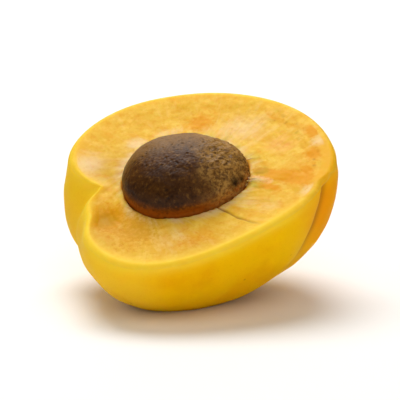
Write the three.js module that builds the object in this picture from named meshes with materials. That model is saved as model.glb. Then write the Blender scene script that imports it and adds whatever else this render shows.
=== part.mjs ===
// Half of a ripe apricot with its stone.
//
// The fruit was cut in two through the hollow at its stalk. This half lies on its skin, leaning so
// that the cut face looks up and towards -Y. The stone is loose: it lies half sunk in the hollow
// that it left in the flesh, with a narrow gap all round.
//
// Millimetres, +Z up, +X towards the blossom end. The origin is on the surface that the fruit rests
// on, under the middle of its bounding box.
//
// Both pieces are shaped in the fruit's own frame, where the cut is the plane z = 0, the flesh lies
// below it and +x is the blossom end. Only then are they leaned over into their resting place.

import * as THREE from 'three';

// ---- Driving dimensions: millimetres, and degrees for angles ----

// The fruit, from its middle in the cut to its skin, before the stalk hollow is taken away.
const BLOSSOM_REACH = 22.75;
const STALK_REACH = 26.55;
const FAR_REACH = 24.5;
const NEAR_REACH = 18.55;
const DEPTH = 23.6;
const FRUIT_SQUARENESS = 2.3; // exponent of the outline; 2 would be an ellipse
const BLOSSOM_TAPER = 0.217; // how much narrower than the middle the blossom end is

// The line from stalk to blossom end, turned about the cut's normal.
const SUTURE_TURN = -14.65;

// The hollow at the stalk.
const STALK_HOLLOW_DEPTH = 8.1;
const STALK_HOLLOW_ANGLE = 12.35;
const STALK_HOLLOW_POWER = 1.3;

// Places where the skin swells out or sinks in. lon and polar point at the middle of the place,
// as in direction() below; angle is how wide it is and rise is how high.
const FAR_SHOULDER = { lon: 158.5, polar: 71.0, angle: 23.7, rise: 4.3 };
const NEAR_SHOULDER = { lon: 211.8, polar: 75.8, angle: 26.6, rise: 2.3 };
const HANGING_CHEEK = { lon: 188, polar: 10.5, angle: 24, rise: 2 };
const NOTCH_DENT = { lon: 184, polar: 88.6, angle: 7, rise: -1.35 };

// The suture: the groove along the skin from the stalk hollow to the blossom end.
const SUTURE_LEAN = 23.7; // from straight below the cut, towards the near side
const CREASE_TURN = -9; // how far it has turned aside when it reaches the blossom end
const SUTURE_WIDTH = 2.2;
const SUTURE_DEPTH_AT_STALK = 0.8;
const SUTURE_DEPTH_BELOW = 0.4;
const SUTURE_DEPTH_AT_BLOSSOM = 1.4;
const CHEEK_RISE = 0.5;
const CHEEK_OFFSET = 6.5;
const CHEEK_WIDTH = 4.5;

// The rounded edge between skin and cut: its radius in most places, and the sharper radius in the
// stalk's notch, with the lon it is reached at and how wide the change is.
const EDGE_ROUNDING = 1.2;
const EDGE_AT_NOTCH = { lon: 166, width: 9, radius: 0.3 };

// The cut face: slightly dished, with a sunken patch beside the stalk hollow.
const DISH_DEPTH = 0.45;
const LIP_DROP = 0.15;
const LIP_WIDTH = 0.45;
const PATCH = { x: -21.5, y: -2.3, depth: 0.8, width: 3.2 };

// The stone, and its place in the fruit's frame.
const STONE_LENGTH = 23.5;
const STONE_WIDTH = 19.3;
const STONE_THICKNESS = 13.5;
const STONE_SQUARENESS = 2.1;
const STONE_TAPER = 0.11;
const STONE_CENTRE = new THREE.Vector3(-5.25, 0.8, 0.3);
const STONE_TURN = -12.7;
const STONE_GAP = 0.35;

// The stone's keel on its far edge, the furrows beside it, and the furrow along its near edge.
const KEEL_RISE = 0.6;
const KEEL_WIDTH = 1;
const KEEL_FURROW_DEPTH = 0.25;
const KEEL_FURROW_OFFSET = 2.2;
const KEEL_FURROW_WIDTH = 0.8;
const BACK_FURROW_DEPTH = 0.35;
const BACK_FURROW_WIDTH = 0.9;

// The stone's blossom end is rough, with furrows that run lengthwise.
const ROUGH_END_FURROWS = 9;
const ROUGH_END_DEPTH = 0.35;
const ROUGH_END_START = 0.5; // where the furrows begin and where they are deepest,
const ROUGH_END_FULL = 0.85; // as a share of the way from the middle to the end

// The resting place: the lean, and how high the middle of the cut stands over the surface.
const LEAN = new THREE.Euler(radians(28.4), radians(-7.6), radians(12.8), 'YXZ');
const RESTING_HEIGHT = 24;

// How finely the surfaces are divided.
const FRUIT_AROUND = 100;
const FRUIT_CROWDING = 0.45; // how much closer the divisions stand at the stalk and the blossom end
const SKIN_RINGS = 20;
const EDGE_RINGS = 3;
const FACE_RINGS = 6;
const STONE_HOLLOW_RINGS = 7;
const STONE_AROUND = 56;
const STONE_RINGS = 26;

// The mouth of the stone's hollow, as a polar angle seen from the stone's centre.
const STONE_HOLLOW_TOP = 84;

// ---- Small helpers ----

function radians(degrees) {
  return THREE.MathUtils.degToRad(degrees);
}

function clamp01(value) {
  return THREE.MathUtils.clamp(value, 0, 1);
}

// A smooth hill of height 1 that falls away with distance.
function hill(distance, width, power = 2) {
  return Math.exp(-((distance / width) ** power));
}

// A unit vector: lon in radians about +z, polar in degrees from straight down.
function direction(lon, polar) {
  const angle = radians(polar);
  const flat = Math.sin(angle);
  return new THREE.Vector3(flat * Math.cos(lon), flat * Math.sin(lon), -Math.cos(angle));
}

// The radius of a rounded box-like egg in a direction, given its reach along each axis.
function eggRadius(towards, reachX, reachY, reachZ, squareness) {
  const sum = Math.abs(towards.x / reachX) ** squareness
    + Math.abs(towards.y / reachY) ** squareness
    + Math.abs(towards.z / reachZ) ** squareness;
  return sum ** (-1 / squareness);
}

function turnedAboutZ(vector, degrees) {
  return vector.clone().applyAxisAngle(new THREE.Vector3(0, 0, 1), radians(degrees));
}

// ---- The fruit's skin ----

// How far a swelling lifts the skin in a direction.
function swelling(towards, place) {
  const middle = direction(radians(place.lon), place.polar);
  return place.rise * hill(towards.angleTo(middle), radians(place.angle));
}

// A direction in the suture's own frame: -x at the stalk, +x where it ends at the blossom.
function alongCrease(towards) {
  const straight = turnedAboutZ(towards, -SUTURE_TURN);
  const share = THREE.MathUtils.smoothstep(straight.x, -0.3, 0.7);
  return turnedAboutZ(straight, -CREASE_TURN * share);
}

// How much the suture and the two cheeks beside it move the skin out or in.
function sutureRelief(alongSuture, radius) {
  const fromSuture = Math.atan2(-alongSuture.y, -alongSuture.z) - radians(SUTURE_LEAN);
  const fromAxis = Math.hypot(alongSuture.y, alongSuture.z);
  const sideways = THREE.MathUtils.clamp(fromSuture, -Math.PI / 2, Math.PI / 2);
  const distance = Math.sin(sideways) * fromAxis * radius;
  const below = clamp01(4 * Math.cos(fromSuture)) * clamp01(fromAxis / 0.12);
  const way = (alongSuture.x + 1) / 2; // 0 at the stalk, 1 at the blossom end
  const depth = SUTURE_DEPTH_BELOW
    + (SUTURE_DEPTH_AT_STALK - SUTURE_DEPTH_BELOW) * clamp01(1 - way / 0.3) ** 1.2
    + (SUTURE_DEPTH_AT_BLOSSOM - SUTURE_DEPTH_BELOW) * clamp01((way - 0.75) / 0.25) ** 1.2;
  const cheeks = CHEEK_RISE * hill(Math.abs(distance) - CHEEK_OFFSET, CHEEK_WIDTH);
  return below * (cheeks * clamp01(1.5 * fromAxis) - depth * hill(distance, SUTURE_WIDTH));
}

function skinRadius(towards) {
  const reachX = towards.x > 0 ? BLOSSOM_REACH : STALK_REACH;
  const reachY = (towards.y > 0 ? FAR_REACH : NEAR_REACH) * (1 - BLOSSOM_TAPER * towards.x);
  const plain = eggRadius(towards, reachX, reachY, DEPTH, FRUIT_SQUARENESS);
  const fromStalk = turnedAboutZ(towards, -SUTURE_TURN).angleTo(new THREE.Vector3(-1, 0, 0));
  return plain
    + swelling(towards, FAR_SHOULDER)
    + swelling(towards, NEAR_SHOULDER)
    + swelling(towards, HANGING_CHEEK)
    + swelling(towards, NOTCH_DENT)
    - STALK_HOLLOW_DEPTH * hill(fromStalk, radians(STALK_HOLLOW_ANGLE), STALK_HOLLOW_POWER)
    + sutureRelief(alongCrease(towards), plain);
}

function skinPoint(lon, polar) {
  const towards = direction(lon, polar);
  return towards.multiplyScalar(skinRadius(towards));
}

// The polar angle at which the skin is a given drop below the plane of the cut.
function polarBelowCut(lon, drop) {
  return 90 - THREE.MathUtils.radToDeg(Math.asin(drop / skinRadius(direction(lon, 90))));
}

// The rounded edge's radius at a lon.
function edgeRadius(lon) {
  const away = lon - radians(EDGE_AT_NOTCH.lon) + Math.PI;
  const apart = Math.abs(THREE.MathUtils.euclideanModulo(away, 2 * Math.PI) - Math.PI);
  const notch = hill(apart, radians(EDGE_AT_NOTCH.width));
  return EDGE_ROUNDING + (EDGE_AT_NOTCH.radius - EDGE_ROUNDING) * notch;
}

// A point of the rounded edge between skin and cut: turn is 0 on the skin and 90 on the cut.
function edgePoint(lon, turn) {
  const drop = edgeRadius(lon) * (1 - Math.sin(radians(turn)));
  const inset = edgeRadius(lon) * (1 - Math.cos(radians(turn)));
  const point = skinPoint(lon, polarBelowCut(lon, drop));
  return point.sub(direction(lon, 90).multiplyScalar(inset));
}

// ---- The stone's surface, as a distance from the stone's centre ----

function stoneRadius(towards) {
  const width = STONE_WIDTH / 2 * (1 - STONE_TAPER * towards.x);
  const plain = eggRadius(towards, STONE_LENGTH / 2, width, STONE_THICKNESS / 2, STONE_SQUARENESS);
  const height = Math.abs(towards.z) * plain;
  const keel = KEEL_RISE * hill(height, KEEL_WIDTH)
    - KEEL_FURROW_DEPTH * hill(height - KEEL_FURROW_OFFSET, KEEL_FURROW_WIDTH);
  const back = BACK_FURROW_DEPTH * hill(height, BACK_FURROW_WIDTH);
  return plain + keel * clamp01(towards.y) - back * clamp01(-towards.y);
}

// How deep the rough end's furrows cut into the stone.
function roughEndDepth(towards) {
  const way = (towards.x - ROUGH_END_START) / (ROUGH_END_FULL - ROUGH_END_START);
  const wave = 0.5 - 0.5 * Math.cos(ROUGH_END_FURROWS * Math.atan2(towards.z, towards.y));
  return ROUGH_END_DEPTH * clamp01(way) * wave;
}

// A point at a given distance from the stone's centre, in the fruit's frame.
function aroundStone(towards, distance) {
  return turnedAboutZ(towards, STONE_TURN).multiplyScalar(distance).add(STONE_CENTRE);
}

// ---- Putting surfaces together ----

// The lowest skin flattens where it carries the fruit, so nothing goes under the surface z = 0.
function laidDown(point) {
  const placed = point.clone().applyEuler(LEAN);
  placed.z = Math.max(placed.z + RESTING_HEIGHT, 0);
  return placed;
}

// One closed body from two poles and the rings of points between them.
function closedSurface(firstPole, rings, lastPole) {
  const around = rings[0].length;
  const points = [firstPole, ...rings.flat(), lastPole].map(laidDown);
  const at = (ring, step) => 1 + ring * around + (step % around);
  const lastRing = rings.length - 1;
  const indices = [];
  for (let step = 0; step < around; step += 1) {
    indices.push(0, at(0, step + 1), at(0, step));
    for (let ring = 0; ring < lastRing; ring += 1) {
      indices.push(at(ring, step), at(ring, step + 1), at(ring + 1, step + 1));
      indices.push(at(ring, step), at(ring + 1, step + 1), at(ring + 1, step));
    }
    indices.push(at(lastRing, step), at(lastRing, step + 1), points.length - 1);
  }
  const geometry = new THREE.BufferGeometry().setFromPoints(points);
  geometry.setIndex(indices);
  geometry.computeVertexNormals();
  return geometry;
}

// Angles round the fruit, closer together where the stalk hollow and the blossom end crease are.
function fruitLongitudes() {
  const angles = [];
  for (let step = 0; step < FRUIT_AROUND; step += 1) {
    const even = 2 * Math.PI * step / FRUIT_AROUND;
    const fromSuture = even - radians(SUTURE_TURN);
    angles.push(even - FRUIT_CROWDING / 2 * Math.sin(2 * fromSuture));
  }
  return angles;
}

// How far the cut face lies from the plane of the cut. way is 0 at the rim and 1 at the lip.
function faceHeight(point, way) {
  const fromPatch = Math.hypot(point.x - PATCH.x, point.y - PATCH.y);
  const patch = PATCH.depth * hill(fromPatch, PATCH.width) * clamp01(4 * way);
  const dish = DISH_DEPTH * Math.sin(Math.PI * way);
  const lip = LIP_DROP * clamp01((way - 0.8) / 0.2) ** 2;
  return -dish - lip - patch;
}

function fruitGeometry() {
  const longitudes = fruitLongitudes();
  const rings = [];
  for (let ring = 1; ring <= SKIN_RINGS; ring += 1) {
    const way = ring / SKIN_RINGS;
    rings.push(longitudes.map((lon) => skinPoint(lon, polarBelowCut(lon, edgeRadius(lon)) * way)));
  }
  for (let ring = 1; ring < EDGE_RINGS; ring += 1) {
    rings.push(longitudes.map((lon) => edgePoint(lon, 90 * ring / EDGE_RINGS)));
  }
  const rim = longitudes.map((lon) => edgePoint(lon, 90));
  const mouth = longitudes.map((lon) => {
    const towards = direction(lon, STONE_HOLLOW_TOP);
    return aroundStone(towards, stoneRadius(towards) + STONE_GAP);
  });
  for (let ring = 0; ring <= FACE_RINGS; ring += 1) {
    const way = ring / FACE_RINGS;
    rings.push(rim.map((edge, step) => {
      const lip = mouth[step].clone().setZ(0);
      const outward = edge.clone().sub(lip).setLength(LIP_WIDTH);
      const point = edge.clone().lerp(lip.add(outward), way);
      return point.setZ(faceHeight(point, way));
    }));
  }
  for (let ring = STONE_HOLLOW_RINGS; ring > 0; ring -= 1) {
    rings.push(longitudes.map((lon) => {
      const towards = direction(lon, STONE_HOLLOW_TOP * ring / STONE_HOLLOW_RINGS);
      return aroundStone(towards, stoneRadius(towards) + STONE_GAP);
    }));
  }
  const down = new THREE.Vector3(0, 0, -1);
  const hollowBottom = aroundStone(down, stoneRadius(down) + STONE_GAP);
  return closedSurface(skinPoint(0, 0), rings, hollowBottom);
}

function stoneGeometry() {
  const rings = [];
  for (let ring = 1; ring < STONE_RINGS; ring += 1) {
    const polar = 180 * ring / STONE_RINGS;
    const points = [];
    for (let step = 0; step < STONE_AROUND; step += 1) {
      const towards = direction(2 * Math.PI * step / STONE_AROUND, polar);
      points.push(aroundStone(towards, stoneRadius(towards) - roughEndDepth(towards)));
    }
    rings.push(points);
  }
  const down = new THREE.Vector3(0, 0, -1);
  const up = new THREE.Vector3(0, 0, 1);
  return closedSurface(aroundStone(down, stoneRadius(down)), rings, aroundStone(up, stoneRadius(up)));
}

// ---- The part ----

const fleshMaterial = new THREE.MeshStandardMaterial({
  color: new THREE.Color(0.89, 0.64, 0.16),
  roughness: 0.55,
  metalness: 0,
});
const stoneMaterial = new THREE.MeshStandardMaterial({
  color: new THREE.Color(0.27, 0.17, 0.11),
  roughness: 0.75,
  metalness: 0,
});

const fruitHalf = new THREE.Mesh(fruitGeometry(), fleshMaterial);
fruitHalf.name = 'fruit_half';
const stone = new THREE.Mesh(stoneGeometry(), stoneMaterial);
stone.name = 'stone';

const apricotHalf = new THREE.Group();
apricotHalf.add(fruitHalf, stone);

// Bring the middle of the fruit's bounding box over the origin.
const box = new THREE.Box3().setFromObject(apricotHalf);
const middle = box.getCenter(new THREE.Vector3());
apricotHalf.position.set(-middle.x, -middle.y, 0);

export default apricotHalf;
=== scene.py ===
"""Half of a ripe apricot with its stone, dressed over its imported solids.

The fruit and the stone are shaped by the same formulas as the solids, in the same millimetres, on
finer grids. The relief of cut flesh, skin and shell is added to those shapes. Both are shaped in
the fruit's own frame first: the cut is the plane z = 0, the flesh lies below it, and +x is the
blossom end. Then they are leaned over into the resting place of the solids.
"""
import math
import bpy
import numpy as np
from mathutils import Matrix, Vector, noise


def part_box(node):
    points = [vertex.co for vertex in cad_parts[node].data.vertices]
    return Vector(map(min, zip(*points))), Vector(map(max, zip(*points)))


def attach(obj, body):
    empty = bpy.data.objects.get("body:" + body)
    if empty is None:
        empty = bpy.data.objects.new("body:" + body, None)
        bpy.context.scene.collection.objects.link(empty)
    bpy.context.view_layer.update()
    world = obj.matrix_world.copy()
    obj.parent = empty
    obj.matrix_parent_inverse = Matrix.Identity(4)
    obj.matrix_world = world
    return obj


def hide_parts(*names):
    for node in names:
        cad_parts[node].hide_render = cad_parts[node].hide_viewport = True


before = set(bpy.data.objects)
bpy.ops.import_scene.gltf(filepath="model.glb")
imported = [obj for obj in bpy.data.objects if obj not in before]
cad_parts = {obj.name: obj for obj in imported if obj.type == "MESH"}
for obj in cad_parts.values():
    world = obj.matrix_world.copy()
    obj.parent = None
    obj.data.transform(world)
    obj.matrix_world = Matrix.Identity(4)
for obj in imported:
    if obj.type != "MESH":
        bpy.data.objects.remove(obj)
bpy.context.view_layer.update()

MM = 0.001  # shapes are worked out in millimetres, and Blender's are in metres

# ---- Shape of the solids: millimetres, and degrees for angles ----

# The fruit, from its middle in the cut to its skin, before the stalk hollow is taken away.
BLOSSOM_REACH = 22.75
STALK_REACH = 26.55
FAR_REACH = 24.5
NEAR_REACH = 18.55
DEPTH = 23.6
FRUIT_SQUARENESS = 2.3  # exponent of the outline; 2 would be an ellipse
BLOSSOM_TAPER = 0.217  # how much narrower than the middle the blossom end is

# The line from stalk to blossom end, turned about the cut's normal.
SUTURE_TURN = -14.65

# The hollow at the stalk.
STALK_HOLLOW_DEPTH = 8.1
STALK_HOLLOW_ANGLE = 12.35
STALK_HOLLOW_POWER = 1.3

# Where the skin swells out or sinks in: lon, polar, how wide in degrees, and how high.
FAR_SHOULDER = (158.5, 71.0, 23.7, 4.3)
NEAR_SHOULDER = (211.8, 75.8, 26.6, 2.3)
HANGING_CHEEK = (188, 10.5, 24, 2)
NOTCH_DENT = (184, 88.6, 7, -1.35)

# The suture: the groove along the skin from the stalk hollow to the blossom end, and its cheeks.
SUTURE_LEAN = 23.7  # from straight below the cut, towards the near side
CREASE_TURN = -9  # how far it has turned aside when it reaches the blossom end
SUTURE_WIDTH = 2.2
SUTURE_DEPTH_AT_STALK = 0.8
SUTURE_DEPTH_BELOW = 0.4
SUTURE_DEPTH_AT_BLOSSOM = 1.4
SUTURE_STALK_PART = 0.3  # the share of its length, at either end, over which the depth changes
SUTURE_BLOSSOM_PART = 0.25
SUTURE_FADE_POWER = 1.2
CHEEK_RISE = 0.5
CHEEK_OFFSET = 6.5
CHEEK_WIDTH = 4.5

# The rounded edge between skin and cut: its radius in most places, and in the stalk's notch the
# lon where it is sharpest, how wide the change is, and the radius there.
EDGE_ROUNDING = 1.2
EDGE_AT_NOTCH = (166, 9, 0.3)

# The cut face: slightly dished, with a sunken patch beside the stalk hollow.
DISH_DEPTH = 0.45
LIP_DROP = 0.15
LIP_DROP_START = 0.8  # as a share of the way from the rim to the lip
LIP_WIDTH = 0.45
PATCH_PLACE = (-21.5, -2.3)
PATCH_DEPTH = 0.8
PATCH_WIDTH = 3.2

# The stone, its place in the fruit's frame, and its hollow.
STONE_LENGTH = 23.5
STONE_WIDTH = 19.3
STONE_THICKNESS = 13.5
STONE_SQUARENESS = 2.1
STONE_TAPER = 0.11
STONE_CENTRE = np.array([-5.25, 0.8, 0.3])
STONE_TURN = -12.7
STONE_GAP = 0.35
STONE_HOLLOW_TOP = 84  # the hollow's mouth, as a polar angle seen from the stone's centre

# The stone's keel on its far edge, the furrows beside it, and the furrow along its near edge.
KEEL_RISE = 0.6
KEEL_WIDTH = 1
KEEL_FURROW_DEPTH = 0.25
KEEL_FURROW_OFFSET = 2.2
KEEL_FURROW_WIDTH = 0.8
BACK_FURROW_DEPTH = 0.35
BACK_FURROW_WIDTH = 0.9

# The stone's blossom end is rough, with furrows that run lengthwise.
ROUGH_END_FURROWS = 9
ROUGH_END_DEPTH = 0.35
ROUGH_END_START = 0.5  # where the furrows begin and where they are deepest,
ROUGH_END_FULL = 0.85  # as a share of the way from the middle to the end

# The resting place: the lean, and how high the middle of the cut stands over the surface.
LEAN_BACK = 28.4  # turn about +x
LEAN_SIDEWAYS = -7.6  # turn about +y
SPIN = 12.8  # turn about +z
RESTING_HEIGHT = 24

# ---- Finer relief, millimetres ----

RIPPLE_WAVES = 28  # how many waves are added up for smooth noise

SKIN_LUMPS = 0.05
SKIN_RUN = 35  # about how far it is along the skin from the bottom to the edge

FLESH_LUMPS = 0.06  # height of broad unevenness in the cut
FLESH_FIBRES = 0.05  # height of the fibres that run out from the stone
FLESH_GRAIN = 0.015  # height of the burst cells between them
FLESH_SMOOTH_RIM = 2.5  # how far from the rim this relief has its full height
FIBRE_STRETCH = 7  # how many times longer than wide the fibres are

LIP_REACH = 10  # about how far the lip is from the stone's centre
LIP_RAGGED = 0.16
LIP_GAP = 0.08  # the flesh clings to the stone at its lip
HOLLOW_SLACK = 0.1  # how much further than the solids' the hollow's wall is from the stone
HOLLOW_BUMPS = 0.08

CRACK_START = (-2.1, -8.4)
CRACK_END = (4.3, -16.6)
CRACK_WIDTH = 0.2
CRACK_DEPTH = 0.35

# Torn fibres that stand between flesh and stone.
FIBRE_CLUMPS = ((-10, 6), (13, 2), (36, 2), (53, 2), (67, 3))  # stone longitude, how many fibres
FIBRE_REACH = (1.2, 3.2)  # the least and the most that one reaches into the flesh
FIBRE_THICKNESS = (0.12, 0.22)

SHELL_LUMPS = 0.06
SHELL_GRAIN = 0.012
SHELL_RIDGES = 0.08  # height of the fibrous ridges at the stone's rough end
SHELL_PITS = 0.10
SHELL_PIT_SPACING = 1.0
SHELL_PIT_WIDTH = 0.45
SHELL_HOLES = ((-28, 100, 6), (-20, 97, 4))  # lon, polar and how wide, in degrees
SHELL_SINK = 0.08  # the whole relief is this much lower than the solid,
SHELL_CLEARANCE = 0.02  # and its peaks stay this far from the flesh

# ---- Colour in the cut flesh, millimetres ----

# Lines: an amber streak towards the blossom end, a pale torn strand at its root and the shade
# below that.
STREAK_START = (8, -2.4)
STREAK_END = (15, -7.4)
STREAK_WIDTH = 1.6
STRAND_START = (6.3, -3.6)
STRAND_END = (8.8, -5.2)
STRAND_WIDTH = 0.7
STRAND_PINK_WIDTH = 0.9
SHADE_START = (7.0, -6.2)
SHADE_END = (9.6, -7.6)
SHADE_WIDTH = 0.9

# Soft spots: how strong, where (x, y), how wide, and how many times longer along x.
SUNKEN_PATCH = (PATCH_PLACE[0], PATCH_PLACE[1] - 0.6)
PALE_SPOTS = (
    (0.8, -21.2, 12.3, 3.4, 1.0),  # at the rim, behind the notch
    (0.3, -20, 6, 2.5, 1.0),  # between the notch and the stone
    (0.65, -11.2, 14, 2, 1.4),  # behind the stone, from the stalk's side to the blossom's
    (0.5, -5, 14.6, 1.5, 2.6),
    (0.4, 1.5, 13, 1.6, 1.6),
    (0.5, 8, 10, 4.6, 1.4),
    (0.6, 20.6, 1, 1.9, 1.0),  # along the rim at the blossom end
    (0.7, 15, -10.8, 2.2, 1.0),
    (0.25, 6.8, -11.5, 2.6, 1.4),  # in front of the stone
    (0.35, 3, -9.5, 1.8, 1.7),
    (0.35, -11, -12.5, 4, 1.0),
)
AMBER_SPOTS = (
    (1.0, *SUNKEN_PATCH, 3.4, 1.0),
    (0.8, 1.5, 15, 2.2, 1.3),  # behind the stone
    (0.9, 20.4, 4, 1.7, 1.0),  # along the rim at the blossom end
    (0.8, 18.5, -1.8, 1.9, 1.0),
    (0.8, 16, -5.2, 1.4, 1.0),
    (0.45, -8, -14.5, 3, 1.6),  # in front of the stone
    (0.6, -18, -8, 4.5, 1.0),  # beside the notch, on the near side
)
OLIVE_SPOTS = (
    (1.0, 8.3, -2.3, 1.1, 1.3),  # at the root of the streak
    (0.8, *SUNKEN_PATCH, 2.6, 1.0),
    (0.55, -17, -8, 5, 1.0),  # beside the notch, on the near side
)
DARK_SPOTS = (
    (0.25, -17, 9.8, 4.2, 1.0),  # beside the notch, on the far side
    (0.22, -23.5, -5, 5.5, 1.0),  # and on the near side
    (0.12, -25.5, -3, 3, 1.0),
    (0.1, -7, -17, 2.5, 4),  # along the near rim
)
PINK_SPOTS = (
    (0.7, 13.5, 3, 4, 1.2),  # between the stone and the blossom end
    (0.4, 7.5, -5, 2, 1.0),  # round the torn strand
)

# The pale ring round the stone, and the spots that thin it.
HALO_WIDTH = 1.9
HALO_GAPS = (
    (0.9, 8.5, -4.5, 4, 1.0),  # at the root of the streak
    (0.5, -18, 3, 5, 1.0),  # towards the notch
    (0.4, 7, 4, 5, 1.0),  # behind the stone's blossom end
)

# Two stretches of the rim at the blossom end, each with the lon of its middle and half its
# length, in radians. One has no painted highlight, and within it one has a band of deeper yellow.
RIM_WITHOUT_LIGHT = (-0.1, 0.75)
RIM_WITH_BAND = (-0.27, 0.27)

# ---- Grids ----

FRUIT_AROUND = 380
FRUIT_CROWDING = 0.45  # how much closer the points stand at the stalk and the blossom end
SKIN_RINGS = 100
EDGE_RINGS = 9
EDGE_RINGS_OF_SKIN = 3  # the rest of the rounded edge is flesh
FACE_RINGS = 96
LIP_RINGS = 5
HOLLOW_RINGS = 26
STONE_AROUND = 400
STONE_RINGS = 190
FIBRE_AROUND = 6
FIBRE_RINGS = 8


# ---- Small helpers ----

def hill(distance, width, power=2.0):
    """A smooth hill of height 1 that falls away with distance."""
    return np.exp(-np.abs(distance / width) ** power)


def directions(lon, polar):
    """Unit vectors: lon in radians about +z, polar in degrees from straight down."""
    angle = np.radians(polar)
    flat = np.sin(angle)
    parts = np.broadcast_arrays(flat * np.cos(lon), flat * np.sin(lon), -np.cos(angle))
    return np.stack(parts, axis=-1)


def unit(vectors):
    return vectors / np.linalg.norm(vectors, axis=-1, keepdims=True)


def angle_between(towards, other):
    """Radians between unit vectors and one other vector."""
    return np.arccos(np.clip(towards @ unit(np.asarray(other, float)), -1, 1))


def turned(vectors, degrees):
    """The vectors turned about +z, all by one angle or each by its own."""
    angle = np.radians(degrees)
    x = vectors[..., 0] * np.cos(angle) - vectors[..., 1] * np.sin(angle)
    y = vectors[..., 0] * np.sin(angle) + vectors[..., 1] * np.cos(angle)
    return np.stack([x, y, vectors[..., 2]], axis=-1)


def smooth_step(value):
    """0 below 0, 1 above 1, and a smooth rise between."""
    value = np.clip(value, 0, 1)
    return value * value * (3 - 2 * value)


def ripples(places, pitch, seed):
    """Smooth noise of about unit height, with hills about pitch apart."""
    random = np.random.default_rng(seed)
    waves = unit(random.normal(size=(RIPPLE_WAVES, places.shape[-1])))
    waves = waves * random.uniform(0.6, 1.4, (RIPPLE_WAVES, 1)) * math.tau / pitch
    total = np.zeros(places.shape[:-1])
    for wave, phase in zip(waves, random.uniform(0, math.tau, RIPPLE_WAVES)):
        total += np.sin(places @ wave + phase)
    return total * math.sqrt(2 / RIPPLE_WAVES)


def from_segment(x, y, start, end):
    """Distance of points from a straight line, and how far along it they are, 0 to 1."""
    run = np.subtract(end, start)
    along = ((x - start[0]) * run[0] + (y - start[1]) * run[1]) / (run @ run)
    along = np.clip(along, 0, 1)
    distance = np.hypot(x - start[0] - along * run[0], y - start[1] - along * run[1])
    return distance, along


def soft_spots(x, y, spots):
    """One layer for each spot: its strength in its middle, falling away to 0."""
    return [
        strength * hill(np.hypot((x - middle_x) / stretch, y - middle_y), width)
        for strength, middle_x, middle_y, width, stretch in spots
    ]


# ---- The solids' surfaces ----

def egg_radius(towards, reach_x, reach_y, reach_z, squareness):
    """The radius of a rounded box-like egg in each direction, given its reach along each axis."""
    reaches = np.stack(np.broadcast_arrays(reach_x, reach_y, reach_z), axis=-1)
    return (np.abs(towards / reaches) ** squareness).sum(axis=-1) ** (-1 / squareness)


def along_crease(towards):
    """Directions in the suture's own frame: -x at the stalk, +x where it ends at the blossom."""
    straight = turned(towards, -SUTURE_TURN)
    return turned(straight, -CREASE_TURN * smooth_step(straight[..., 0] + 0.3))


def suture_place(along_suture, radius):
    """Distance from the suture's line in mm, how far below the cut, and how far from its axis."""
    _, y, z = np.moveaxis(along_suture, -1, 0)
    from_suture = np.arctan2(-y, -z) - math.radians(SUTURE_LEAN)
    from_axis = np.hypot(y, z)
    distance = np.sin(np.clip(from_suture, -math.pi / 2, math.pi / 2)) * from_axis * radius
    below = np.clip(4 * np.cos(from_suture), 0, 1) * np.clip(from_axis / 0.12, 0, 1)
    return distance, below, from_axis


def suture_relief(along_suture, radius):
    """How much the suture and the two cheeks beside it move the skin out or in."""
    distance, below, from_axis = suture_place(along_suture, radius)
    way = (along_suture[..., 0] + 1) / 2
    at_stalk = np.clip(1 - way / SUTURE_STALK_PART, 0, 1) ** SUTURE_FADE_POWER
    at_blossom = np.clip(1 - (1 - way) / SUTURE_BLOSSOM_PART, 0, 1) ** SUTURE_FADE_POWER
    depth = SUTURE_DEPTH_BELOW
    depth = depth + (SUTURE_DEPTH_AT_STALK - SUTURE_DEPTH_BELOW) * at_stalk
    depth = depth + (SUTURE_DEPTH_AT_BLOSSOM - SUTURE_DEPTH_BELOW) * at_blossom
    cheeks = CHEEK_RISE * hill(np.abs(distance) - CHEEK_OFFSET, CHEEK_WIDTH)
    cheeks = cheeks * np.clip(1.5 * from_axis, 0, 1)
    return below * (cheeks - depth * hill(distance, SUTURE_WIDTH))


def swelling(towards, lon, polar, angle, rise):
    middle = directions(math.radians(lon), polar)
    return rise * hill(angle_between(towards, middle), math.radians(angle))


def skin_radius(towards):
    """How far the skin is from the middle of the cut."""
    reach_x = np.where(towards[..., 0] > 0, BLOSSOM_REACH, STALK_REACH)
    reach_y = np.where(towards[..., 1] > 0, FAR_REACH, NEAR_REACH)
    reach_y = reach_y * (1 - BLOSSOM_TAPER * towards[..., 0])
    plain = egg_radius(towards, reach_x, reach_y, DEPTH, FRUIT_SQUARENESS)
    from_stalk = angle_between(turned(towards, -SUTURE_TURN), (-1, 0, 0))
    hollow = hill(from_stalk, math.radians(STALK_HOLLOW_ANGLE), STALK_HOLLOW_POWER)
    radius = plain - STALK_HOLLOW_DEPTH * hollow
    for place in (FAR_SHOULDER, NEAR_SHOULDER, HANGING_CHEEK, NOTCH_DENT):
        radius += swelling(towards, *place)
    return radius + suture_relief(along_crease(towards), plain)


def stone_radius(towards):
    """How far the stone's surface is from its centre, without the furrows of its rough end."""
    width = STONE_WIDTH / 2 * (1 - STONE_TAPER * towards[..., 0])
    plain = egg_radius(
        towards, STONE_LENGTH / 2, width, STONE_THICKNESS / 2, STONE_SQUARENESS)
    height = np.abs(towards[..., 2]) * plain
    keel = KEEL_RISE * hill(height, KEEL_WIDTH)
    keel -= KEEL_FURROW_DEPTH * hill(height - KEEL_FURROW_OFFSET, KEEL_FURROW_WIDTH)
    back = BACK_FURROW_DEPTH * hill(height, BACK_FURROW_WIDTH)
    side = towards[..., 1]
    return plain + keel * np.clip(side, 0, 1) - back * np.clip(-side, 0, 1)


def rough_end(towards):
    """0 on the stone's smooth body, 1 at its rough blossom end."""
    way = (towards[..., 0] - ROUGH_END_START) / (ROUGH_END_FULL - ROUGH_END_START)
    return np.clip(way, 0, 1)


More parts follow.
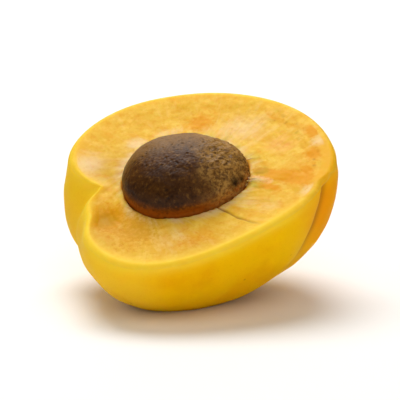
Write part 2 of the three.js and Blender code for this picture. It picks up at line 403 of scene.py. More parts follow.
def around_stone(towards, distance):
    """Points at a distance from the stone's centre, in the fruit's frame."""
    return turned(towards, STONE_TURN) * distance[..., None] + STONE_CENTRE


def edge_rounding(lon):
    """Radius of the rounded edge, sharper in the stalk's notch."""
    middle, width, in_notch = EDGE_AT_NOTCH
    apart = (np.degrees(lon) - middle + 180) % 360 - 180
    return EDGE_ROUNDING + (in_notch - EDGE_ROUNDING) * hill(apart, width)


def polar_below_cut(lon, drop):
    """The polar angle at which the skin is a given drop below the plane of the cut."""
    return 90 - np.degrees(np.arcsin(drop / skin_radius(directions(lon, 90))))


def edge_places(lon, turn):
    """Points of the rounded edge between skin and cut. turn is 0 at the skin, 90 at the face."""
    drop = edge_rounding(lon) * (1 - math.sin(math.radians(turn)))
    inset = edge_rounding(lon) * (1 - math.cos(math.radians(turn)))
    towards = directions(lon, polar_below_cut(lon, drop))
    return towards * skin_radius(towards)[..., None] - directions(lon, 90) * inset[..., None]


# ---- Putting surfaces together ----

def leaned(points):
    """Fruit-frame points turned into the resting place, still in mm. The lowest skin is flat."""
    turns = (("Y", LEAN_SIDEWAYS), ("X", LEAN_BACK), ("Z", SPIN))
    matrix = Matrix.Identity(3)
    for axis, angle in turns:
        matrix = matrix @ Matrix.Rotation(math.radians(angle), 3, axis)
    placed = points @ np.array(matrix).T
    placed[..., 2] = np.maximum(placed[..., 2] + RESTING_HEIGHT, 0)
    return placed


def origin_shift():
    """How far the leaned fruit moves sideways so that it stands where the CAD node stands."""
    low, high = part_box("fruit_half")
    lon = np.linspace(0, math.tau, 721)
    top = polar_below_cut(lon, edge_rounding(lon))
    towards = directions(lon, top * np.linspace(0, 1, 361)[:, None])
    skin = towards * skin_radius(towards)[..., None]
    edge = np.stack([edge_places(lon, turn) for turn in range(0, 91, 6)])
    outside = leaned(np.concatenate([skin, edge])).reshape(-1, 3)
    middle = (outside.min(axis=0) + outside.max(axis=0)) / 2
    cad_middle = np.array((low + high) / 2) / MM
    return np.array([cad_middle[0] - middle[0], cad_middle[1] - middle[1], 0])


SHIFT = origin_shift()


def in_part_frame(points):
    """Fruit-frame points in mm to part-frame points in metres."""
    return (leaned(points) + SHIFT) * MM


def closed_grid(first_pole, rings, last_pole, fields):
    """Points, faces and fields of a closed surface of rings between two poles.

    fields are values for the rings' points, by name; a pole takes the mean of the ring beside it.
    """
    ring_count, around, _ = rings.shape
    points = np.vstack([first_pole, rings.reshape(-1, 3), last_pole])
    corner = 1 + np.arange(ring_count)[:, None] * around + np.arange(around)
    following = np.roll(corner, -1, axis=1)
    quads = [corner[:-1], following[:-1], following[1:], corner[1:]]
    faces = [(0, b, a) for a, b in zip(corner[0].tolist(), following[0].tolist())]
    faces += np.stack(quads, axis=-1).reshape(-1, 4).tolist()
    end = len(points) - 1
    faces += [(a, b, end) for a, b in zip(corner[-1].tolist(), following[-1].tolist())]
    values = {"place": points}
    for name, field in fields.items():
        size = field.shape[2:]
        poles = [field[0].mean(axis=0), field[-1].mean(axis=0)]
        values[name] = np.concatenate([
            poles[0].reshape(1, *size), field.reshape(-1, *size), poles[1].reshape(1, *size)])
    return points, faces, values


def add_field(mesh, name, values):
    """Stores a number or a vector at each point of the mesh, for its material to read."""
    vector = values.ndim == 2
    kind, key = ("FLOAT_VECTOR", "vector") if vector else ("FLOAT", "value")
    attribute = mesh.attributes.new(name, kind, "POINT")
    attribute.data.foreach_set(key, np.ascontiguousarray(values, np.float32).ravel())


def build_piece(name, grids):
    """One mesh object from several grids, moved into the part's frame."""
    points, faces = [], []
    for grid_points, grid_faces, _ in grids:
        first = sum(len(p) for p in points)
        points.append(grid_points)
        faces += [tuple(first + corner for corner in face) for face in grid_faces]
    mesh = bpy.data.meshes.new(name)
    mesh.from_pydata(in_part_frame(np.vstack(points)).tolist(), [], faces)
    mesh.shade_smooth()
    for field in grids[0][2]:
        add_field(mesh, field, np.concatenate([values[field] for _, _, values in grids]))
    piece = bpy.data.objects.new(name, mesh)
    bpy.context.scene.collection.objects.link(piece)
    return piece


def fruit_longitudes():
    """Angles round the fruit, closer together at the stalk hollow and the blossom end crease."""
    even = np.arange(FRUIT_AROUND) * math.tau / FRUIT_AROUND
    return even - FRUIT_CROWDING / 2 * np.sin(2 * (even - math.radians(SUTURE_TURN)))


# ---- The cut face ----

def rim_places(lon):
    """Where the rounded edge meets the cut, all round."""
    towards = directions(lon, 90)
    return towards * (skin_radius(towards) - edge_rounding(lon))[..., None]


def hollow_places(lon, polar=STONE_HOLLOW_TOP, extra=0.0):
    """Points in the stone's hollow, further from the stone by extra."""
    towards = directions(lon, polar)
    return around_stone(towards, stone_radius(towards) + STONE_GAP + extra)


def mouth_places(lon):
    """The top ring of the stone's hollow, where the flesh clings to the stone."""
    return hollow_places(lon, extra=LIP_GAP - STONE_GAP)


def lip_places(lon):
    """The ragged lip where the cut face turns down into the stone's hollow."""
    rim = rim_places(lon)
    mouth = mouth_places(lon) * (1, 1, 0)
    circle = directions(lon, 90) * LIP_REACH
    ragged = ripples(circle, 2.6, 11) + 0.6 * ripples(circle, 1.1, 12)
    width = LIP_WIDTH + LIP_RAGGED * np.clip(ragged, -1.6, 2)
    return mouth + unit(rim - mouth) * width[..., None]


def face_width(lon):
    """How wide the cut face is from rim to lip."""
    return np.linalg.norm(lip_places(lon) - rim_places(lon), axis=-1)


def thread_places(lon, away):
    """Places in which noise is drawn out into threads that run away from the stone."""
    parts = (LIP_REACH * np.cos(lon), LIP_REACH * np.sin(lon), away / FIBRE_STRETCH)
    return np.stack(np.broadcast_arrays(*parts), axis=-1)


def crack_depth(x, y):
    """0 to 1: how deep the thin crack near the stone's blossom end is here."""
    wander = 0.25 * np.sin(1.1 * x + 0.6) + 0.12 * np.sin(3.1 * x)
    across, along = from_segment(x, y + wander, CRACK_START, CRACK_END)
    return hill(across, CRACK_WIDTH) * (1 - along) ** 0.6


def face_relief(lon, points, away, inside):
    """Height of the lumps, fibres and burst cells of the cut flesh."""
    threads = thread_places(lon, away)
    fibres = 0.6 * ripples(threads, 2.4, 21) + 0.5 * ripples(threads, 1.1, 22)
    fibres = fibres * (0.3 + hill(away, 3))
    flat = points * (1, 1, 0)
    grain = ripples(flat, 1.6, 23) + 0.7 * ripples(flat, 1.0, 24)
    lumps = ripples(flat, 7, 25) + 0.5 * ripples(flat, 3, 26)
    uneven = FLESH_LUMPS * lumps + FLESH_FIBRES * fibres + FLESH_GRAIN * grain
    return uneven * smooth_step(inside / FLESH_SMOOTH_RIM)


# ---- Colour in the cut flesh ----

def near_side(lon):
    """1 on the side that the cut leans to, 0 on the far side."""
    return smooth_step(0.7 - 0.7 * np.sin(lon))


def halo(lon, places, from_lip):
    """The pale ring round the stone, uneven, weaker on the near side and thin in some spots."""
    circle = np.broadcast_to(directions(lon, 90) * LIP_REACH, places.shape)
    uneven = np.clip(0.9 + 0.25 * ripples(circle, 3.5, 51), 0, 1)
    thin = 1.0
    for gap in soft_spots(places[..., 0], places[..., 1], HALO_GAPS):
        thin = thin * (1 - gap)
    ring = hill(np.clip(from_lip - 0.4, 0, None), HALO_WIDTH)
    return ring * uneven * thin * (0.8 - 0.2 * near_side(lon))


def rim_stretch(lon, middle, half):
    """1 along a stretch of the rim, with soft ends."""
    apart = angle_between(directions(lon, 90), directions(middle, 90))
    return hill(apart, half, 4)


def face_stains(lon, places, from_rim, from_lip):
    """Where the cut flesh is paler, deeper or darker than elsewhere, by name."""
    x, y = places[..., 0], places[..., 1]
    streak, along_streak = from_segment(x, y, STREAK_START, STREAK_END)
    strand, _ = from_segment(x, y, STRAND_START, STRAND_END)
    shade, _ = from_segment(x, y, SHADE_START, SHADE_END)
    inside_rim = hill(from_rim - 3, 1.1) * np.clip(3 * np.cos(lon - 0.2) - 1.8, 0, 1)
    pale = [
        halo(lon, places, from_lip),
        1.2 * hill(strand, STRAND_WIDTH),
        *soft_spots(x, y, PALE_SPOTS),
    ]
    amber = [
        hill(streak, STREAK_WIDTH * (0.7 + 0.6 * along_streak)),
        # painted shade below the torn strand, in deeper orange
        0.8 * hill(shade, SHADE_WIDTH),
        0.4 * inside_rim * smooth_step(0.4 + 0.5 * ripples(places, 4, 52)),
        *soft_spots(x, y, AMBER_SPOTS),
    ]
    dark = [
        # painted shade in the crack
        0.8 * crack_depth(x, y),
        0.25 * inside_rim * smooth_step(ripples(places, 1.1, 53) - 1.0),
        *soft_spots(x, y, DARK_SPOTS),
    ]
    pink = sum(soft_spots(x, y, PINK_SPOTS)) + hill(strand, STRAND_PINK_WIDTH)
    return {
        "pale": np.maximum.reduce(pale),
        "amber": np.maximum.reduce(amber),
        "dark": np.maximum.reduce(dark),
        "pink": np.clip(pink, 0, 1),
        "olive": np.maximum.reduce(soft_spots(x, y, OLIVE_SPOTS)),
    }


def rim_tints(lon, from_rim):
    """The painted highlight along the rim, stronger on the near side, and the band of deeper yellow at
    the blossom end, by name.
    """
    near = near_side(lon)
    width = np.where(from_rim > -0.8, 1.0 + near, 1.5)
    # painted highlight along the rim, wider and stronger on the near side
    light = hill(from_rim + 0.8, width) * (0.5 + 0.3 * near)
    band = smooth_step((2.4 - from_rim) / 1.8) * smooth_step((from_rim + 3.2) / 1.6)
    return {
        "painted_rim_highlight": light * (1 - rim_stretch(lon, *RIM_WITHOUT_LIGHT)),
        "blossom_rim": band * rim_stretch(lon, *RIM_WITH_BAND),
    }


def crease_shade(places):
    """How dark the painted shade in the suture's crease is, at the blossom end only."""
    along_suture = along_crease(unit(places))
    distance, below, _ = suture_place(along_suture, np.linalg.norm(places, axis=-1))
    return 0.7 * hill(distance, 0.9) * below * smooth_step((along_suture[..., 0] - 0.5) / 0.4)


# ---- The fruit, ring by ring: each has its points, how far in from the rim, how far from the lip ----

def skin_rings(lon):
    """The skin from its bottom up to the rounded edge."""
    top = polar_below_cut(lon, edge_rounding(lon))
    span = face_width(lon)
    for step in range(1, SKIN_RINGS + 1):
        way = step / SKIN_RINGS
        towards = directions(lon, top * way)
        skin = towards * skin_radius(towards)[..., None]
        lumps = ripples(skin, 9, 31) + 0.4 * ripples(skin, 4, 32)
        skin += towards * (SKIN_LUMPS * lumps * smooth_step((1 - way) * 12))[..., None]
        yield skin, (way - 1) * SKIN_RUN - math.pi / 2 * edge_rounding(lon), span


def edge_rings(lon):
    """The rounded edge from the skin up to the rim of the cut."""
    span = face_width(lon)
    for step in range(1, EDGE_RINGS + 1):
        turn = 90 * step / EDGE_RINGS
        yield edge_places(lon, turn), math.radians(turn - 90) * edge_rounding(lon), span


def face_rings(lon):
    """The cut face from the rim to the lip."""
    rim, lip = rim_places(lon), lip_places(lon)
    span = face_width(lon)
    for step in range(1, FACE_RINGS + 1):
        way = step / FACE_RINGS
        points = rim + (lip - rim) * way
        away, inside = span * (1 - way), span * way
        x, y = points[..., 0], points[..., 1]
        from_patch = np.hypot(x - PATCH_PLACE[0], y - PATCH_PLACE[1])
        patch = PATCH_DEPTH * hill(from_patch, PATCH_WIDTH) * min(4 * way, 1)
        dish = DISH_DEPTH * math.sin(math.pi * way)
        lip_drop = LIP_DROP * max((way - LIP_DROP_START) / (1 - LIP_DROP_START), 0) ** 2
        sunken = dish + lip_drop + patch + CRACK_DEPTH * crack_depth(x, y)
        points[..., 2] = face_relief(lon, points, away, inside) - sunken
        yield points, inside, away


def lip_rings(lon, face_edge):
    """The rounded lip, from the face's last ring down to the hollow's mouth."""
    mouth = mouth_places(lon)
    span = face_width(lon)
    bend = mouth * (1, 1, 0) + face_edge * (0, 0, 1)
    for step in range(1, LIP_RINGS + 1):
        way = step / (LIP_RINGS + 1)
        points = (1 - way) ** 2 * face_edge + 2 * way * (1 - way) * bend + way ** 2 * mouth
        yield points, span, -way


def hollow_rings(lon):
    """The stone's hollow from its mouth to its bottom."""
    span = face_width(lon)
    for step in range(HOLLOW_RINGS, 0, -1):
        polar = STONE_HOLLOW_TOP * step / HOLLOW_RINGS
        deeper = HOLLOW_RINGS - step
        extra = HOLLOW_SLACK + HOLLOW_BUMPS * ripples(hollow_places(lon, polar), 1.6, 33)
        extra += (LIP_GAP - STONE_GAP - extra) * hill(deeper, 2)
        yield hollow_places(lon, polar, extra), span, -1 - 0.3 * deeper


# ---- Pieces ----

def fruit_grid():
    """Skin, edge, cut face and hollow as one closed surface, with the fields of its materials."""
    lon = fruit_longitudes()
    rings = [*skin_rings(lon), *edge_rings(lon), *face_rings(lon)]
    rings += [*lip_rings(lon, rings[-1][0]), *hollow_rings(lon)]
    places = np.stack([points for points, _, _ in rings])
    from_rim = np.stack([np.broadcast_to(inside, lon.shape) for _, inside, _ in rings])
    from_lip = np.stack([np.broadcast_to(away, lon.shape) for _, _, away in rings])
    on_face = smooth_step(from_rim / 0.6) * smooth_step((from_lip + 0.3) / 0.3)
    fields = {"from_lip": from_lip, "crease": crease_shade(places)}
    fields["thread"] = thread_places(lon, np.clip(from_lip, -2, 40))
    for name, stain in face_stains(lon, places, from_rim, from_lip).items():
        fields[name] = stain * on_face
    fields.update(rim_tints(lon, from_rim))
    down = directions(0.0, 0.0)
    return closed_grid(down * skin_radius(down), places, hollow_places(0.0, 0.0), fields)


def flesh_fibre_grids():
    """Short torn fibres that still reach from the flesh to the stone's blossom end."""
    random = np.random.default_rng(61)
    grids = []
    for clump, count in FIBRE_CLUMPS:
        for _ in range(count):
            lon = math.radians(random.normal(clump, 3))
            start = hollow_places(lon + random.normal(0, 0.03), 90, -STONE_GAP - 0.2)
            end = hollow_places(lon, 90, random.uniform(*FIBRE_REACH))
            start[2] = random.uniform(-0.4, 0.2)
            end[2] = -0.7
            middle = (start + end) / 2 + random.normal(0, 0.15, 3)
            middle[2] = random.uniform(-0.35, -0.1)
            grids.append(fibre_grid(start, middle, end, random.uniform(*FIBRE_THICKNESS)))
    return grids


def fibre_grid(start, middle, end, radius):
    """One bent tapering fibre, with the fields of the flesh."""
    angle = np.arange(FIBRE_AROUND)[:, None] * math.tau / FIBRE_AROUND
    rings = []
    for way in np.linspace(0.06, 0.94, FIBRE_RINGS):
        place = (1 - way) ** 2 * start + 2 * way * (1 - way) * middle + way ** 2 * end
        run = unit((1 - way) * (middle - start) + way * (end - middle))
        side = unit(np.cross(run, (0, 0, 1)))
        circle = np.cos(angle) * side + np.sin(angle) * np.cross(run, side)
        rings.append(place + circle * radius * (0.5 + 0.8 * way) * (1 - way ** 6))
    rings = np.stack(rings)
    none = rings[..., 0] * 0
    fields = {"from_lip": none + 1, "thread": rings * 0.6, "pale": none + 1.5, "pink": none + 0.8}
    for name in ("amber", "dark", "olive", "painted_rim_highlight", "blossom_rim", "crease"):
        fields[name] = none
    return closed_grid(start, rings, end, fields)


def fruit_piece():
    piece = build_piece("apricot_half", [fruit_grid(), *flesh_fibre_grids()])
    piece.data.materials.append(skin_material())
    piece.data.materials.append(flesh_material())
    skin_faces = FRUIT_AROUND * (SKIN_RINGS + EDGE_RINGS_OF_SKIN)
    slots = np.ones(len(piece.data.polygons), np.int32)
    slots[:skin_faces] = 0
    piece.data.polygons.foreach_set("material_index", slots)
    return piece


def shell_pits(towards, plain):
    """0 to 1 or a little more: pits strewn unevenly over the shell, and a few deeper holes."""
    places = (plain / SHELL_PIT_SPACING).reshape(-1, 3).tolist()
    nearest = np.array([noise.voronoi(Vector(place))[0][0] for place in places])
    patchy = smooth_step(0.5 + 0.45 * ripples(plain, 4, 43))
    pits = smooth_step(1 - nearest.reshape(patchy.shape) / SHELL_PIT_WIDTH) * (0.3 + 0.7 * patchy)
    for lon, polar, width in SHELL_HOLES:
        middle = directions(math.radians(lon), polar)
        hole = hill(angle_between(towards, middle), math.radians(width))
        pits = np.maximum(pits, 1.4 * hole)
    return pits


def shell_relief(towards, plain, pits):
    """Height of the shell's lumps, grain, pits, ridges and furrows over the plain stone."""
    rough = rough_end(towards)
    lumps = ripples(plain, 6, 44) + 0.4 * ripples(plain, 2.4, 45)
    grain = ripples(plain, 0.55, 46)
    drawn_out = plain * (0.5, 1, 1)
    ridges = ripples(drawn_out, 1.1, 41) + 0.7 * ripples(drawn_out, 0.6, 42)
    around = np.arctan2(towards[..., 2], towards[..., 1])
    furrows = 0.5 - 0.5 * np.cos(ROUGH_END_FURROWS * around)
    relief = SHELL_LUMPS * lumps + SHELL_GRAIN * grain - SHELL_PITS * pits * (1 + rough)
    relief = relief + rough * (SHELL_RIDGES * ridges - ROUGH_END_DEPTH * furrows)
    return np.minimum(relief - SHELL_SINK, LIP_GAP - SHELL_CLEARANCE)


def stone_piece():
    lon = np.arange(STONE_AROUND) * math.tau / STONE_AROUND
    polar = 180 * np.arange(1, STONE_RINGS) / STONE_RINGS
    towards = directions(lon, polar[:, None])
    plain = towards * stone_radius(towards)[..., None]
    pits = shell_pits(towards, plain)
    radius = stone_radius(towards) + shell_relief(towards, plain, pits)
    worn = smooth_step((towards[..., 0] - 0.15 + 0.08 * ripples(towards, 0.5, 47)) / 0.75)
    keel = hill(towards[..., 2], 0.2) * smooth_step(towards[..., 1] * 2)
    keel = keel * smooth_step(towards[..., 0] * 3 + 0.4)
    grid = closed_grid(
        around_stone(directions(0.0, 0.0), radius[0].mean()),
        around_stone(towards, radius),
        around_stone(directions(0.0, 180.0), radius[-1].mean()),
        {"shell": plain, "pits": pits, "worn": worn, "keel": keel},
    )
    piece = build_piece("apricot_stone", [grid])
    piece.data.materials.append(stone_material())
    return piece


# ---- Colours: sRGB, 0 to 255 ----

SKIN_GOLD = (249, 191, 0)
SKIN_DEEP_GOLD = (241, 176, 0)
SKIN_BRIGHT = (251, 205, 0)
SKIN_BLOSSOM_END = (243, 148, 0)
SKIN_STALK_END = (246, 197, 50)
# Painted light: the skin turns lighter towards the cut.
SKIN_PAINTED_LIGHT_NEAR_CUT = (251, 199, 0)
# Painted shade in the suture's crease.
SKIN_PAINTED_CREASE_SHADE = (178, 100, 2)
SKIN_SPECKLE = (226, 151, 2)
SKIN_FRECKLE = (170, 84, 14)

# Painted highlight along the rounded rim, on skin and flesh alike.
RIM_PAINTED_HIGHLIGHT = (254, 214, 60)
RIM_BAND = (234, 174, 24)

FLESH_YELLOW = (234, 187, 56)
FLESH_GOLD = (231, 178, 45)
FLESH_LIGHT = (242, 200, 80)
FLESH_ORANGE = (228, 162, 20)
FLESH_LIGHT_THREAD = (244, 204, 96)
FLESH_DEEP_THREAD = (228, 160, 16)
FLESH_PALE = (240, 206, 148)
FLESH_PINK = (247, 180, 98)
FLESH_AMBER = (230, 157, 0)
FLESH_OLIVE = (204, 152, 4)
FLESH_CELLS = (212, 134, 24)
FLESH_DARK = (140, 80, 20)
FLESH_BY_STONE = (190, 92, 14)

SHELL_BROWN = (64, 33, 5)
SHELL_LIGHT_BROWN = (86, 50, 10)
SHELL_TAN_GRAIN = (120, 82, 30)
SHELL_DARK_GRAIN = (36, 15, 3)
# Painted sheen: the shell is lighter towards its far side, whose top edge catches the light.
SHELL_PAINTED_SHEEN = (152, 112, 58)
SHELL_SHADED = (32, 13, 1)
# Painted reflection of the orange flesh on the shell's low near side.
SHELL_PAINTED_FLESH_REFLECTION = (160, 80, 6)
SHELL_WORN = (184, 138, 68)
SHELL_KEEL = (168, 118, 56)
# Painted shade in the pits.
SHELL_PIT = (26, 11, 3)

FLOOR_TONES = ((244, 243, 240), (247, 246, 244))


# ---- Materials: places are in fruit millimetres ----

def srgb(red, green, blue):
    """A colour given as 0 to 255 sRGB, as Blender's linear RGBA."""
    linear = []
    for part in (red / 255, green / 255, blue / 255):
        linear.append(part / 12.92 if part <= 0.04045 else ((part + 0.055) / 1.055) ** 2.4)
    return (*linear, 1.0)


class Recipe:
    """A material's nodes, added one by one. An input is a value or another node's output."""

    def __init__(self, name):
        self.material = bpy.data.materials.new(name)
        self.material.use_nodes = True
        self.tree = self.material.node_tree
        self.tree.nodes.clear()

    def node(self, kind, inputs, **settings):
        node = self.tree.nodes.new("ShaderNode" + kind)
        for key, value in settings.items():
            setattr(node, key, value)
        for key, value in inputs.items():
            if isinstance(value, bpy.types.NodeSocket):
                self.tree.links.new(value, node.inputs[key])
            else:
                node.inputs[key].default_value = value
        return node

    def field(self, name, output="Fac"):
        return self.node("Attribute", {}, attribute_name=name).outputs[output]

    def noise(self, vector, scale, detail=3.0, roughness=0.5, distortion=0.0):
        inputs = {"Vector": vector, "Scale": scale, "Detail": detail,
                  "Roughness": roughness, "Distortion": distortion}
        return self.node("TexNoise", inputs).outputs["Fac"]

    def voronoi(self, vector, scale):
        return self.node("TexVoronoi", {"Vector": vector, "Scale": scale}).outputs["Distance"]

    def ramp(self, value, low, high, start=0.0, end=1.0):
        """Maps low..high to start..end, smoothly and held at both ends."""
        inputs = {"Value": value, "From Min": low, "From Max": high,
                  "To Min": start, "To Max": end}
        node = self.node("MapRange", inputs, interpolation_type="SMOOTHSTEP", clamp=True)
        return node.outputs["Result"]

    def mix(self, share, first, second):
        """Mixes a second colour into the first, which may be another node's output."""
        if not isinstance(first, bpy.types.NodeSocket):
            first = srgb(*first)
        inputs = {0: share, 6: first, 7: srgb(*second)}
        return self.node("Mix", inputs, data_type="RGBA").outputs[2]

    def product(self, first, second):
        return self.node("Math", {0: first, 1: second}, operation="MULTIPLY").outputs[0]

    def broken(self, field, texture, low, high, strength):
        """A field whose edge is broken up by a texture, 0 to strength."""
        inputs = {0: field, 1: self.product(texture, 0.7)}
        shifted = self.node("Math", inputs, operation="ADD").outputs[0]
        return self.ramp(shifted, low, high, 0.0, strength)

    def bump(self, height, strength, distance, normal=None):
        inputs = {"Height": height, "Strength": strength, "Distance": distance}
        if normal is not None:
            inputs["Normal"] = normal
        return self.node("Bump", inputs).outputs["Normal"]

    def finish(self, inputs):
        surface = self.node("BsdfPrincipled", inputs)
        output = self.node("OutputMaterial", {})
        self.tree.links.new(surface.outputs[0], output.inputs["Surface"])
        return self.material


def skin_material():
    """Golden satin skin with faint down: mottled yellow to amber, a few freckles; painted light near
    the cut and along the rim, painted shade in the crease.
    """
    skin = Recipe("apricot_skin")
    place = skin.field("place", "Vector")
    parts = skin.node("SeparateXYZ", {"Vector": place}).outputs
    mottling = skin.noise(place, 0.09, 3, 0.55)
    patches = skin.noise(place, 0.32, 4, 0.6)
    speckle = skin.noise(place, 2.6, 2, 0.6)
    colour = skin.mix(skin.ramp(mottling, 0.38, 0.62), SKIN_GOLD, SKIN_DEEP_GOLD)
    colour = skin.mix(skin.ramp(patches, 0.5, 0.75, 0, 0.4), colour, SKIN_BRIGHT)
    blossom_end = skin.broken(skin.ramp(parts["X"], 8, 21), patches, 0.3, 1.25, 0.8)
    colour = skin.mix(blossom_end, colour, SKIN_BLOSSOM_END)
    colour = skin.mix(skin.ramp(parts["X"], -14, -23, 0, 0.6), colour, SKIN_STALK_END)
    # painted light, lighter towards the cut
    colour = skin.mix(skin.ramp(parts["Z"], -5, -1.5, 0, 0.4), colour, SKIN_PAINTED_LIGHT_NEAR_CUT)
    # painted shade in the suture's crease
    colour = skin.mix(skin.field("crease"), colour, SKIN_PAINTED_CREASE_SHADE)
    colour = skin.mix(skin.ramp(speckle, 0.52, 0.75, 0, 0.2), colour, SKIN_SPECKLE)
    freckled = skin.ramp(skin.noise(place, 0.13, 2), 0.52, 0.66, 0, 0.5)
    freckles = skin.product(skin.ramp(skin.voronoi(place, 0.38), 0.05, 0.13, 1, 0), freckled)
    colour = skin.mix(freckles, colour, SKIN_FRECKLE)
    # painted highlight along the rim
    colour = skin.mix(skin.field("painted_rim_highlight"), colour, RIM_PAINTED_HIGHLIGHT)
    colour = skin.mix(skin.field("blossom_rim"), colour, RIM_BAND)
    return skin.finish({
        "Base Color": colour,
        "Roughness": skin.ramp(patches, 0.3, 0.7, 0.5, 0.58),
        "Normal": skin.bump(skin.noise(place, 7, 3, 0.6), 0.25, 0.06 * MM),
        "Subsurface Weight": 0.5,
        "Subsurface Radius": (1.0, 0.45, 0.06),
        "Subsurface Scale": 3 * MM,
        "IOR": 1.3,
        "Specular IOR Level": 0.05,
    })


def flesh_material():
    """Moist orange flesh: threads running out from the stone, pale round it, deeper in places."""
    flesh = Recipe("apricot_flesh")
    place = flesh.field("place", "Vector")
    thread = flesh.field("thread", "Vector")
    broad = flesh.noise(place, 0.2, 3, 0.55)
    mottling = flesh.noise(place, 0.5, 3, 0.6)
    grain = flesh.noise(place, 1.6, 3, 0.6)
    threads = flesh.noise(thread, 1.1, 4, 0.6, 0.3)
    deep = flesh.noise(thread, 0.75, 3, 0.6, 0.6)
    colour = flesh.mix(flesh.ramp(broad, 0.36, 0.64), FLESH_YELLOW, FLESH_GOLD)
    colour = flesh.mix(flesh.ramp(mottling, 0.5, 0.68, 0, 0.65), colour, FLESH_LIGHT)
    colour = flesh.mix(flesh.ramp(mottling, 0.5, 0.32, 0, 0.65), colour, FLESH_ORANGE)
    colour = flesh.mix(flesh.ramp(threads, 0.48, 0.74, 0, 0.45), colour, FLESH_LIGHT_THREAD)
    colour = flesh.mix(flesh.ramp(deep, 0.5, 0.74, 0, 0.45), colour, FLESH_DEEP_THREAD)
    pale = flesh.broken(flesh.field("pale"), threads, 0.4, 1.15, 0.9)
    colour = flesh.mix(pale, colour, FLESH_PALE)
    pink = flesh.broken(flesh.field("pink"), deep, 0.7, 1.3, 0.7)
    colour = flesh.mix(pink, colour, FLESH_PINK)
    amber = flesh.broken(flesh.field("amber"), grain, 0.4, 1.05, 0.96)
    colour = flesh.mix(amber, colour, FLESH_AMBER)
    olive = flesh.broken(flesh.field("olive"), grain, 0.4, 1.1, 0.8)
    colour = flesh.mix(olive, colour, FLESH_OLIVE)
    colour = flesh.mix(flesh.ramp(grain, 0.5, 0.75, 0, 0.25), colour, FLESH_CELLS)
    # painted highlight along the rim
    colour = flesh.mix(flesh.field("painted_rim_highlight"), colour, RIM_PAINTED_HIGHLIGHT)
    band = flesh.broken(flesh.field("blossom_rim"), mottling, 0.45, 1.2, 0.75)
    colour = flesh.mix(band, colour, RIM_BAND)
    colour = flesh.mix(flesh.field("dark"), colour, FLESH_DARK)
    in_hollow = flesh.ramp(flesh.field("from_lip"), -0.9, 0.5, 1.0, 0.0)
    colour = flesh.mix(in_hollow, colour, FLESH_BY_STONE)
    normal = flesh.bump(flesh.voronoi(place, 1.3), 0.12, 0.1 * MM)
    normal = flesh.bump(flesh.noise(thread, 3.0, 4, 0.6), 0.15, 0.1 * MM, normal)
    return flesh.finish({
        "Base Color": colour,
        "Roughness": flesh.ramp(grain, 0.35, 0.65, 0.44, 0.56),
        "Normal": normal,
        "Subsurface Weight": 0.5,
        "Subsurface Radius": (1.0, 0.5, 0.12),
        "Subsurface Scale": 3 * MM,
        "Specular IOR Level": 0.1,
    })


def stone_material():
    """Dark brown shell with a soft sheen, partly painted; painted shade and flesh reflection low on
    its near side; finely grained, with a tan rough end.
    """
    shell = Recipe("stone_shell")
    place = shell.field("shell", "Vector")
    parts = shell.node("SeparateXYZ", {"Vector": place}).outputs
    broad = shell.noise(place, 0.25, 4, 0.6)
    grain = shell.noise(place, 1.4, 5, 0.7)
    streaks = shell.noise(place, 1.3, 4, 0.7, 0.5)
    fine = shell.noise(place, 5.5, 4, 0.7)
    colour = shell.mix(shell.ramp(broad, 0.35, 0.65), SHELL_BROWN, SHELL_LIGHT_BROWN)
    colour = shell.mix(shell.ramp(grain, 0.52, 0.66, 0, 0.85), colour, SHELL_TAN_GRAIN)
    colour = shell.mix(shell.ramp(grain, 0.32, 0.48, 0.8, 0), colour, SHELL_DARK_GRAIN)
    # painted sheen, lighter towards the far side
    colour = shell.mix(shell.ramp(parts["Y"], -1, 5, 0, 0.6), colour, SHELL_PAINTED_SHEEN)
    shaded = shell.product(shell.ramp(parts["Y"], 1, -6), shell.ramp(parts["X"], 5, -3, 0, 0.5))
    colour = shell.mix(shaded, colour, SHELL_SHADED)
    # painted reflection of the orange flesh, low on the near side
    low = shell.product(shell.ramp(parts["Z"], 3.8, -1), shell.ramp(parts["Y"], 2, -3))
    colour = shell.mix(shell.broken(low, grain, 0.5, 1.45, 0.85), colour, SHELL_PAINTED_FLESH_REFLECTION)
    worn = shell.product(shell.field("worn"), shell.ramp(streaks, 0.4, 0.6, 0.15, 0.75))
    colour = shell.mix(worn, colour, SHELL_WORN)
    keel = shell.broken(shell.field("keel"), grain, 0.7, 1.2, 0.8)
    colour = shell.mix(keel, colour, SHELL_KEEL)
    # painted shade in the pits
    colour = shell.mix(shell.product(shell.field("pits"), 0.7), colour, SHELL_PIT)
    return shell.finish({
        "Base Color": colour,
        "Roughness": shell.ramp(fine, 0.3, 0.7, 0.4, 0.5),
        "Normal": shell.bump(grain, 0.15, 0.1 * MM, shell.bump(fine, 0.2, 0.06 * MM)),
        "Specular IOR Level": 0.16,
    })


def floor_material():
    """A matt white table, barely uneven in tone."""
    floor = Recipe("pale_floor")
    place = floor.node("TexCoord", {}).outputs["Object"]
    colour = floor.mix(floor.noise(place, 6, 2, 0.5), *FLOOR_TONES)
    return floor.finish({"Base Color": colour, "Roughness": 0.75, "Specular IOR Level": 0.2})


# ---- Stage: floor, lights and camera, in metres ----

FLOOR_HALF = 2.5

ROOM_LIGHT = 0.04
LIGHTS_AIM = (0, 0, 0.02)
WHITE = (1.0, 1.0, 1.0)
WARM = (1.0, 0.97, 0.92)
LIGHTS = (  # name, place, how wide, watts, colour, seen in reflections
    ("key", (-0.08, 0.27, 0.7), 0.6, 5.5, WHITE, True),
    ("backdrop", (0.0, 0.85, 0.3), 0.8, 1.2, WHITE, True),
    ("high_fill", (0.05, -0.4, 0.65), 0.6, 1.4, WARM, False),
    ("low_fill", (0.1, -0.75, 0.2), 0.7, 1.5, WARM, False),
    ("right_fill", (0.65, 0.0, 0.4), 0.6, 0.5, WARM, False),
    ("left_fill", (-0.65, 0.0, 0.4), 0.6, 0.8, WARM, False),
)

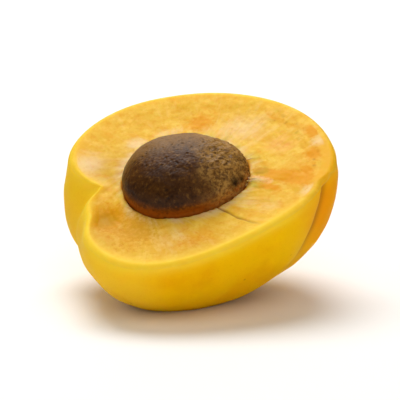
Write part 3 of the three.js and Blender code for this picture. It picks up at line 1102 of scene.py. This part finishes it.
CAMERA_ELEVATION = math.radians(15)
CAMERA_DISTANCE = 0.47
CAMERA_LENS = 231
CAMERA_NEAREST = 0.01
AIM_RIGHT = -0.00263  # from the middle of the cut to the middle of the picture
AIM_UP = -0.00473


def add_floor():
    """A flat square, wide enough to fill the view."""
    corners = [(-1, -1, 0), (1, -1, 0), (1, 1, 0), (-1, 1, 0)]
    mesh = bpy.data.meshes.new("floor")
    mesh.from_pydata([Vector(c) * FLOOR_HALF for c in corners], [], [(0, 1, 2, 3)])
    floor = bpy.data.objects.new("floor", mesh)
    floor.data.materials.append(floor_material())
    bpy.context.scene.collection.objects.link(floor)


def add_light(name, place, width, power, colour, in_reflections):
    """A round soft light aimed at the fruit."""
    light = bpy.data.lights.new(name, "AREA")
    light.shape = "DISK"
    light.size = width
    light.energy = power
    light.color = colour
    lamp = bpy.data.objects.new(name, light)
    lamp.location = place
    towards = Vector(LIGHTS_AIM) - Vector(place)
    lamp.rotation_euler = towards.to_track_quat("-Z", "Y").to_euler()
    lamp.visible_glossy = in_reflections
    bpy.context.scene.collection.objects.link(lamp)


def add_lights():
    world = bpy.data.worlds.new("soft_white_room")
    world.use_nodes = True
    background = world.node_tree.nodes["Background"]
    background.inputs["Color"].default_value = (*WHITE, 1.0)
    background.inputs["Strength"].default_value = ROOM_LIGHT
    bpy.context.scene.world = world
    for light in LIGHTS:
        add_light(*light)


def add_camera():
    """A long lens that looks slightly down at the leaning cut, from the -Y side."""
    right = Vector((1, 0, 0))
    back = Vector((0, -math.cos(CAMERA_ELEVATION), math.sin(CAMERA_ELEVATION)))
    up = back.cross(right)
    cut_middle = Vector((SHIFT[0] * MM, SHIFT[1] * MM, RESTING_HEIGHT * MM))
    aim = cut_middle + AIM_RIGHT * right + AIM_UP * up
    data = bpy.data.cameras.new("camera")
    data.lens = CAMERA_LENS
    data.clip_start = CAMERA_NEAREST
    camera = bpy.data.objects.new("camera", data)
    camera.location = aim + back * CAMERA_DISTANCE
    camera.rotation_euler = (-back).to_track_quat("-Z", "Y").to_euler()
    bpy.context.scene.collection.objects.link(camera)
    bpy.context.scene.camera = camera


# ---- The scene ----

fruit = fruit_piece()
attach(fruit, "root")
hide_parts("fruit_half")

stone = stone_piece()
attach(stone, "root")
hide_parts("stone")

add_floor()
add_lights()
add_camera()
bpy.context.scene.view_settings.view_transform = "Standard"
